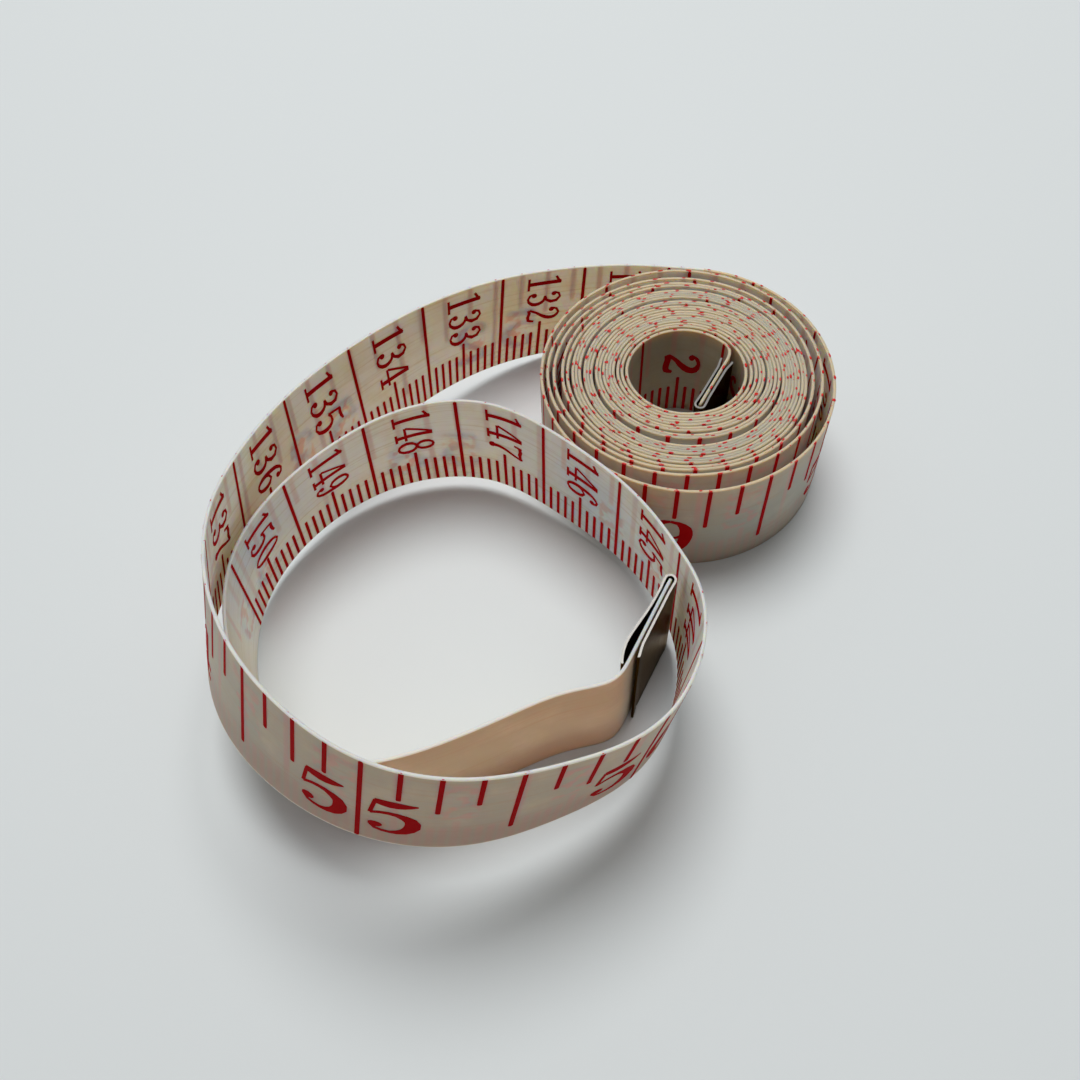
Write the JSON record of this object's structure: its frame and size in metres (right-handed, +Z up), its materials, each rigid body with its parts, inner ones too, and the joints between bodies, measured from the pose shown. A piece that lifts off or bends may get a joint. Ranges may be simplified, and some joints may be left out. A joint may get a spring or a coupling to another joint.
{
  "type": "cloth tape measure",
  "caption": "Narrow coated-cloth tailor's tape measure standing on its edge: a loose roll and a free loop, centimetres on one face and inches on the other, with folded metal end clips.",
  "frame": {"origin": "on the table under the middle of the whole part's box", "axes": "+Z up, square to the table that the tape's edge stands on; +Y away from the picture's camera; the roll is at +X, +Y and the free loop at -X, -Y"},
  "size_m": [0.0634, 0.0644, 0.0222],
  "materials": {
    "coated_cloth": "thin woven cloth under a smooth cream vinyl coat, satin",
    "scale_ink": "printed red ink, slightly raised, satin",
    "nickel_plate": "bright nickel-plated sheet, lightly rubbed"
  },
  "bodies": {
    "root": {"coiled_tape": "coated_cloth", "tape_loop": "coated_cloth", "inner_end_clip": "nickel_plate", "outer_end_clip": "nickel_plate"}
  },
  "joints": []
}
